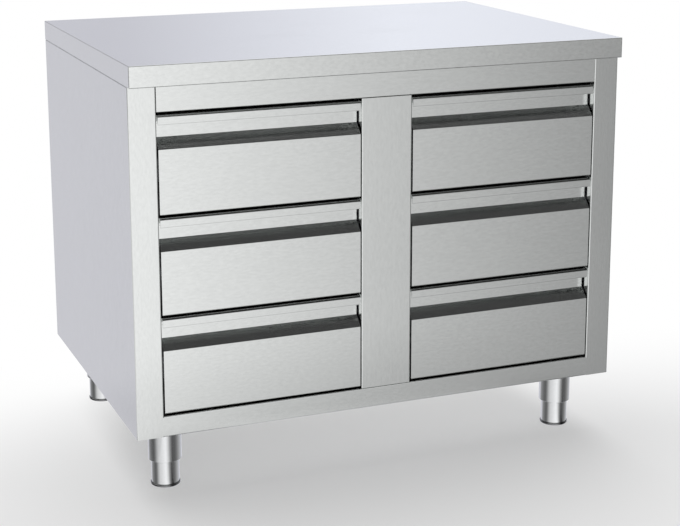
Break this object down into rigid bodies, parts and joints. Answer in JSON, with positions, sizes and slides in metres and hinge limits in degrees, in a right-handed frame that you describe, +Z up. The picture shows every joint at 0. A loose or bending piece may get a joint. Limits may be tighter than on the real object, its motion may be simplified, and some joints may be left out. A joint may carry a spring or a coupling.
{
  "type": "work table with drawers",
  "caption": "Stainless steel work table on a closed cabinet, with two columns of sliding drawers, folded finger grips and adjustable legs.",
  "frame": {"origin": "on the floor, under the middle of the worktop", "axes": "+X along the front to the right as seen from the front, +Y from the front to the back, +Z up"},
  "size_m": [1, 0.7, 0.826],
  "materials": {
    "worktop_steel": "satin stainless steel, fine grain along the length",
    "panel_steel": "satin stainless steel, fine grain",
    "front_steel": "satin stainless steel, fine grain along the length",
    "box_steel": "plain stainless sheet",
    "galvanised": "galvanised sheet",
    "leg_steel": "polished stainless steel",
    "board": "raw chipboard",
    "nylon": "matt moulded nylon"
  },
  "bodies": {
    "cabinet": {"worktop": "worktop_steel", "worktop_board": "board", "worktop_channels": "galvanised", "side_panel_left": "panel_steel", "side_panel_right": "panel_steel", "back_panel": "panel_steel", "floor_tray": "panel_steel", "bottom_rail": "panel_steel", "top_rail": "panel_steel", "centre_post": "panel_steel", "runner_plate_left_outer": "galvanised", "runner_plate_left_inner": "galvanised", "runner_plate_right_outer": "galvanised", "runner_plate_right_inner": "galvanised", "leg_front_left": "leg_steel", "leg_front_right": "leg_steel", "leg_back_left": "leg_steel", "leg_back_right": "leg_steel", "leg_bosses": "galvanised", "leg_guide_rings": "nylon", "leg_screws": "galvanised", "back_rivets": "panel_steel", "runner_rivets": "galvanised", "runner_fixed_left_top": "galvanised", "runner_fixed_left_middle": "galvanised", "runner_fixed_left_bottom": "galvanised", "runner_fixed_right_top": "galvanised", "runner_fixed_right_middle": "galvanised", "runner_fixed_right_bottom": "galvanised"},
    "drawer_left_top": {"drawer_front_left_top": "front_steel", "drawer_box_left_top": "box_steel", "runner_inner_left_top": "galvanised"},
    "runner_middle_pair_left_top": {"runner_middle_left_top": "galvanised"},
    "drawer_left_middle": {"drawer_front_left_middle": "front_steel", "drawer_box_left_middle": "box_steel", "runner_inner_left_middle": "galvanised"},
    "runner_middle_pair_left_middle": {"runner_middle_left_middle": "galvanised"},
    "drawer_left_bottom": {"drawer_front_left_bottom": "front_steel", "drawer_box_left_bottom": "box_steel", "runner_inner_left_bottom": "galvanised"},
    "runner_middle_pair_left_bottom": {"runner_middle_left_bottom": "galvanised"},
    "drawer_right_top": {"drawer_front_right_top": "front_steel", "drawer_box_right_top": "box_steel", "runner_inner_right_top": "galvanised"},
    "runner_middle_pair_right_top": {"runner_middle_right_top": "galvanised"},
    "drawer_right_middle": {"drawer_front_right_middle": "front_steel", "drawer_box_right_middle": "box_steel", "runner_inner_right_middle": "galvanised"},
    "runner_middle_pair_right_middle": {"runner_middle_right_middle": "galvanised"},
    "drawer_right_bottom": {"drawer_front_right_bottom": "front_steel", "drawer_box_right_bottom": "box_steel", "runner_inner_right_bottom": "galvanised"},
    "runner_middle_pair_right_bottom": {"runner_middle_right_bottom": "galvanised"},
    "foot_front_left": {"foot_front_left": "leg_steel"},
    "foot_front_right": {"foot_front_right": "leg_steel"},
    "foot_back_left": {"foot_back_left": "leg_steel"},
    "foot_back_right": {"foot_back_right": "leg_steel"}
  },
  "joints": [
    {"name": "drawer_left_top_slide", "type": "slide", "parent": "cabinet", "child": "drawer_left_top", "axis": [0, -1, 0], "range_m": [0, 0.55]},
    {"name": "runner_middle_pair_left_top_slide", "type": "slide", "parent": "cabinet", "child": "runner_middle_pair_left_top", "axis": [0, -1, 0], "range_m": [0, 0.275]},
    {"name": "drawer_left_middle_slide", "type": "slide", "parent": "cabinet", "child": "drawer_left_middle", "axis": [0, -1, 0], "range_m": [0, 0.55]},
    {"name": "runner_middle_pair_left_middle_slide", "type": "slide", "parent": "cabinet", "child": "runner_middle_pair_left_middle", "axis": [0, -1, 0], "range_m": [0, 0.275]},
    {"name": "drawer_left_bottom_slide", "type": "slide", "parent": "cabinet", "child": "drawer_left_bottom", "axis": [0, -1, 0], "range_m": [0, 0.55]},
    {"name": "runner_middle_pair_left_bottom_slide", "type": "slide", "parent": "cabinet", "child": "runner_middle_pair_left_bottom", "axis": [0, -1, 0], "range_m": [0, 0.275]},
    {"name": "drawer_right_top_slide", "type": "slide", "parent": "cabinet", "child": "drawer_right_top", "axis": [0, -1, 0], "range_m": [0, 0.55]},
    {"name": "runner_middle_pair_right_top_slide", "type": "slide", "parent": "cabinet", "child": "runner_middle_pair_right_top", "axis": [0, -1, 0], "range_m": [0, 0.275]},
    {"name": "drawer_right_middle_slide", "type": "slide", "parent": "cabinet", "child": "drawer_right_middle", "axis": [0, -1, 0], "range_m": [0, 0.55]},
    {"name": "runner_middle_pair_right_middle_slide", "type": "slide", "parent": "cabinet", "child": "runner_middle_pair_right_middle", "axis": [0, -1, 0], "range_m": [0, 0.275]},
    {"name": "drawer_right_bottom_slide", "type": "slide", "parent": "cabinet", "child": "drawer_right_bottom", "axis": [0, -1, 0], "range_m": [0, 0.55]},
    {"name": "runner_middle_pair_right_bottom_slide", "type": "slide", "parent": "cabinet", "child": "runner_middle_pair_right_bottom", "axis": [0, -1, 0], "range_m": [0, 0.275]},
    {"name": "foot_front_left_screw", "type": "slide", "parent": "cabinet", "child": "foot_front_left", "axis": [0, 0, -1], "range_m": [0, 0.045]},
    {"name": "foot_front_right_screw", "type": "slide", "parent": "cabinet", "child": "foot_front_right", "axis": [0, 0, -1], "range_m": [0, 0.045]},
    {"name": "foot_back_left_screw", "type": "slide", "parent": "cabinet", "child": "foot_back_left", "axis": [0, 0, -1], "range_m": [0, 0.045]},
    {"name": "foot_back_right_screw", "type": "slide", "parent": "cabinet", "child": "foot_back_right", "axis": [0, 0, -1], "range_m": [0, 0.045]}
  ],
  "couplings": [
    {"joint": "runner_middle_pair_left_top_slide", "follows": "drawer_left_top_slide", "ratio": 0.5},
    {"joint": "runner_middle_pair_left_middle_slide", "follows": "drawer_left_middle_slide", "ratio": 0.5},
    {"joint": "runner_middle_pair_left_bottom_slide", "follows": "drawer_left_bottom_slide", "ratio": 0.5},
    {"joint": "runner_middle_pair_right_top_slide", "follows": "drawer_right_top_slide", "ratio": 0.5},
    {"joint": "runner_middle_pair_right_middle_slide", "follows": "drawer_right_middle_slide", "ratio": 0.5},
    {"joint": "runner_middle_pair_right_bottom_slide", "follows": "drawer_right_bottom_slide", "ratio": 0.5}
  ]
}
